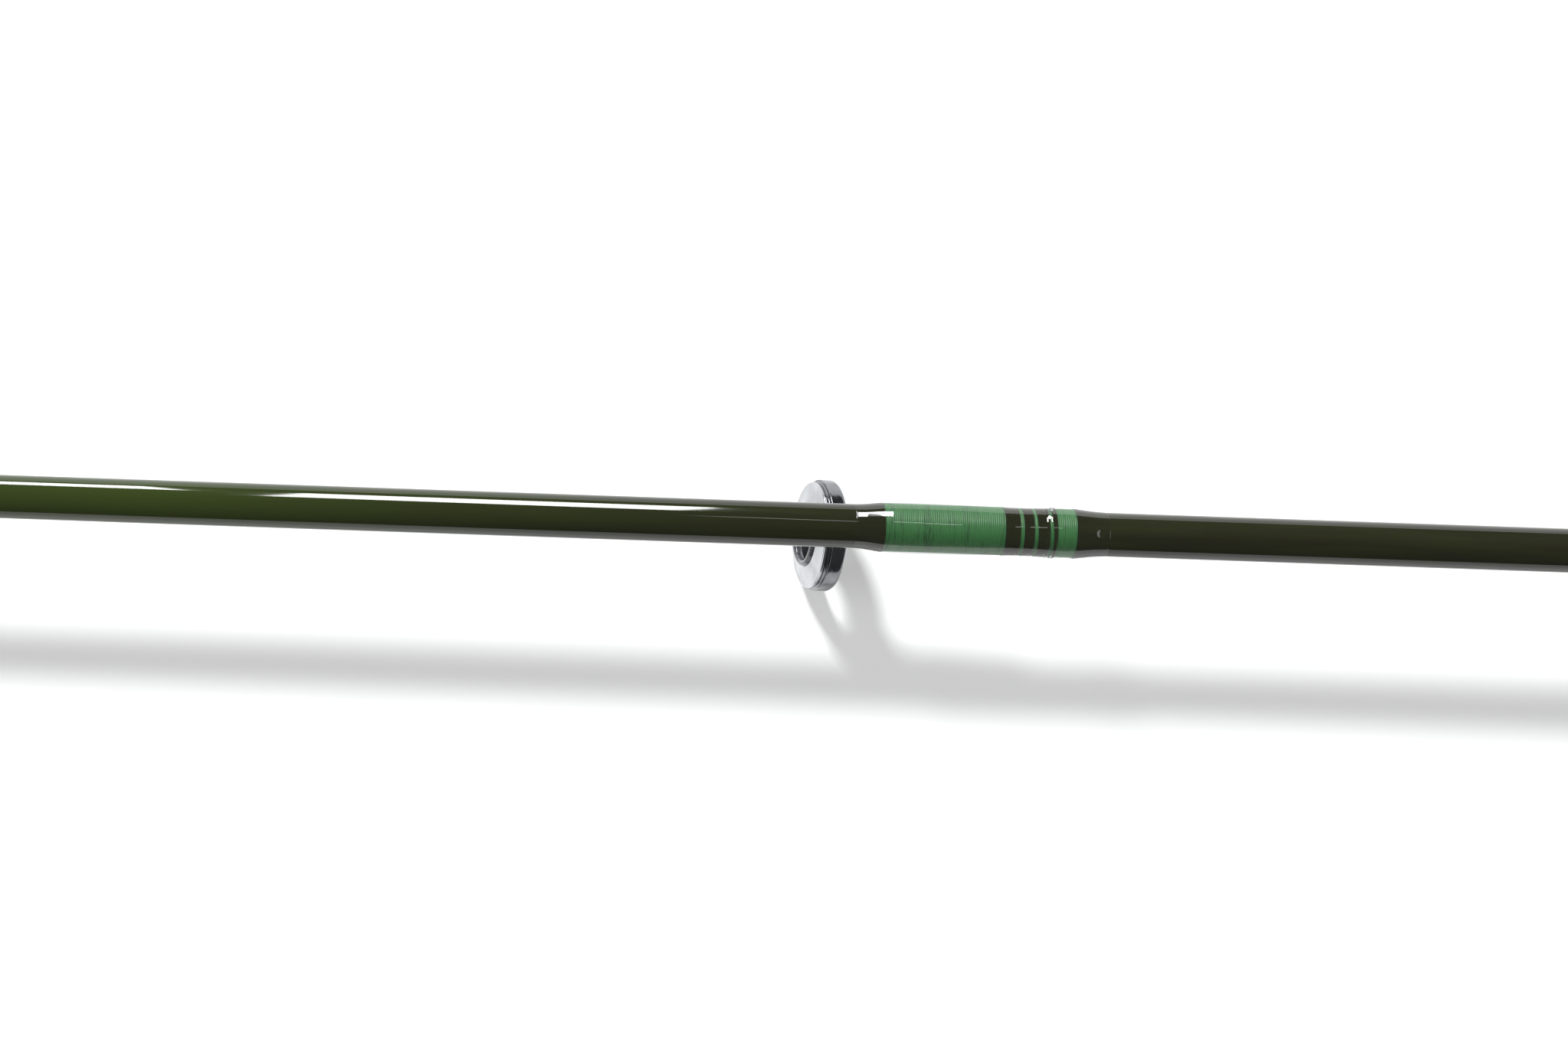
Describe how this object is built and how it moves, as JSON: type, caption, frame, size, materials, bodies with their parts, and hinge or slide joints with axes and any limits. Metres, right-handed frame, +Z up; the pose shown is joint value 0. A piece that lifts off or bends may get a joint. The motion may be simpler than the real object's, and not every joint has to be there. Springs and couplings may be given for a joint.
{
  "type": "fly rod",
  "caption": "Glass fly rod with a cork grip, screw-locking reel seat, hook keeper and thread-wrapped ceramic ring guides; its tip section pulls off at a sleeve ferrule.",
  "frame": {"origin": "centre of the butt cap's end face, on the rod's axis", "axes": "+X along the rod from butt to tip; -Z towards the side that carries the guides, hook keeper and reel; +Z up"},
  "size_m": [2.2858, 0.0254, 0.0346],
  "materials": {
    "glass_blank": "glossy translucent olive-brown glass fibre and resin",
    "thread": "tightly wound green nylon rod thread",
    "clear_finish": "clear glossy epoxy",
    "guide_metal": "polished stainless steel",
    "ceramic": "polished dark grey ceramic",
    "seat_metal": "satin silver-anodised aluminium",
    "cork": "sanded cork with small pits",
    "walnut": "oiled and varnished walnut",
    "fibre": "hard fibre",
    "plug": "moulded"
  },
  "bodies": {
    "butt_section": {"butt_blank": "glass_blank", "ferrule_plug": "plug", "cork_grip": "cork", "winding_check": "seat_metal", "fixed_hood": "seat_metal", "seat_spacer": "walnut", "seat_barrel": "seat_metal", "seat_arbors": "fibre", "butt_cap": "seat_metal", "keeper_bracket": "guide_metal", "keeper_wraps": "thread", "keeper_finish": "clear_finish", "stripper_frame": "guide_metal", "stripper_insert": "ceramic", "stripper_wrap": "thread", "stripper_finish": "clear_finish", "guide_1_frame": "guide_metal", "guide_1_insert": "ceramic", "guide_1_wrap": "thread", "guide_1_finish": "clear_finish", "butt_ferrule_wrap": "thread", "butt_ferrule_finish": "clear_finish"},
    "tip_section": {"tip_blank": "glass_blank", "socket_wrap": "thread", "socket_finish": "clear_finish", "guide_2_frame": "guide_metal", "guide_2_insert": "ceramic", "guide_2_wrap": "thread", "guide_2_finish": "clear_finish", "guide_3_frame": "guide_metal", "guide_3_insert": "ceramic", "guide_3_wrap": "thread", "guide_3_finish": "clear_finish", "guide_4_frame": "guide_metal", "guide_4_insert": "ceramic", "guide_4_wrap": "thread", "guide_4_finish": "clear_finish", "guide_5_frame": "guide_metal", "guide_5_insert": "ceramic", "guide_5_wrap": "thread", "guide_5_finish": "clear_finish", "guide_6_frame": "guide_metal", "guide_6_insert": "ceramic", "guide_6_wrap": "thread", "guide_6_finish": "clear_finish", "guide_7_frame": "guide_metal", "guide_7_insert": "ceramic", "guide_7_wrap": "thread", "guide_7_finish": "clear_finish", "guide_8_frame": "guide_metal", "guide_8_insert": "ceramic", "guide_8_wrap": "thread", "guide_8_finish": "clear_finish", "tip_top_frame": "guide_metal", "tip_top_insert": "ceramic", "tip_top_wrap": "thread", "tip_top_finish": "clear_finish"},
    "sliding_hood": {"sliding_hood": "seat_metal"},
    "lock_nut": {"lock_nut": "seat_metal"},
    "keeper_ring": {"keeper_ring": "guide_metal"}
  },
  "joints": [
    {"name": "ferrule_pull", "type": "slide", "parent": "butt_section", "child": "tip_section", "axis": [1, 0, 0], "range_m": [0, 0.08]},
    {"name": "sliding_hood_travel", "type": "slide", "parent": "butt_section", "child": "sliding_hood", "axis": [1, 0, 0], "range_m": [0, 0.0252]},
    {"name": "lock_nut_turn", "type": "hinge", "parent": "sliding_hood", "child": "lock_nut", "pos_m": [0.0156, 0, 0], "axis": [1, 0, 0], "range_deg": [0, 7200]},
    {"name": "keeper_ring_swing", "type": "hinge", "parent": "butt_section", "child": "keeper_ring", "pos_m": [0.326, 0, -0.00567], "axis": [0, 1, 0], "range_deg": [-80, 80]}
  ],
  "couplings": [
    {"joint": "sliding_hood_travel", "follows": "lock_nut_turn", "m_per_rad": 0.00019894}
  ]
}
